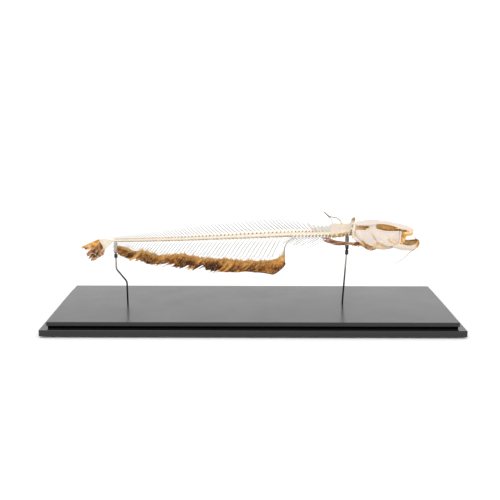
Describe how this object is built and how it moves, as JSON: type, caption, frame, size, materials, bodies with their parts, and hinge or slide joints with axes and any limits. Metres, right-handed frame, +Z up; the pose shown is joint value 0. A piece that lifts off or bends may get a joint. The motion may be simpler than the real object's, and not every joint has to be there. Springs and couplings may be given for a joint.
{
  "type": "mounted fish skeleton",
  "caption": "Still life-size skeleton of a wels catfish with its dried fins, held level by two forked rods over a stepped black board.",
  "frame": {"origin": "on the floor under the middle of the board", "axes": "+Z up, +X towards the fish's head, -Y to the side the fish's right flank faces"},
  "size_m": [0.824, 0.29, 0.2244],
  "materials": {
    "bone": "dry, degreased cream bone with a faint sheen",
    "golden_bone": "bone stained golden orange by dried tissue",
    "dried_fin": "dried, wrinkled fin skin, golden to dark brown",
    "dried_skin": "dried brown skin over thin rays and feelers",
    "black_lacquer": "satin black lacquer on board",
    "steel": "drawn steel wire",
    "grey_sleeve": "clear greyish plastic sleeve over wire",
    "black_rubber": "matt black rubber"
  },
  "bodies": {
    "root": {"neck_vertebrae": "bone", "trunk_vertebrae": "bone", "ribs_left": "bone", "ribs_right": "bone", "tail_vertebrae_front": "bone", "tail_vertebrae_middle": "bone", "tail_vertebrae_rear": "bone", "tail_plate": "bone", "braincase": "bone", "lower_jaw_left": "bone", "lower_jaw_right": "bone", "cheek_left": "bone", "cheek_right": "bone", "gill_cover_left": "bone", "gill_cover_right": "bone", "maxilla_left": "bone", "maxilla_right": "bone", "hyoid_left": "bone", "hyoid_right": "bone", "shoulder_girdle_left": "bone", "shoulder_girdle_right": "bone", "upper_jaw": "golden_bone", "anal_fin_front": "dried_fin", "anal_fin_middle": "dried_fin", "anal_fin_rear": "dried_fin", "tail_fin_upper": "dried_fin", "tail_fin_lower": "dried_fin", "pectoral_fin_left": "dried_fin", "pectoral_fin_right": "dried_fin", "dorsal_fin": "dried_skin", "barbel_chin": "dried_skin", "barbel_tip": "dried_skin", "board_lower": "black_lacquer", "board_recess": "black_lacquer", "board_upper": "black_lacquer", "rod_front": "steel", "rod_rear": "steel", "fork_front": "grey_sleeve", "fork_rear": "grey_sleeve", "foot_front_left": "black_rubber", "foot_front_right": "black_rubber", "foot_back_left": "black_rubber", "foot_back_right": "black_rubber", "collar_front": "black_rubber", "collar_rear": "black_rubber"}
  },
  "joints": []
}
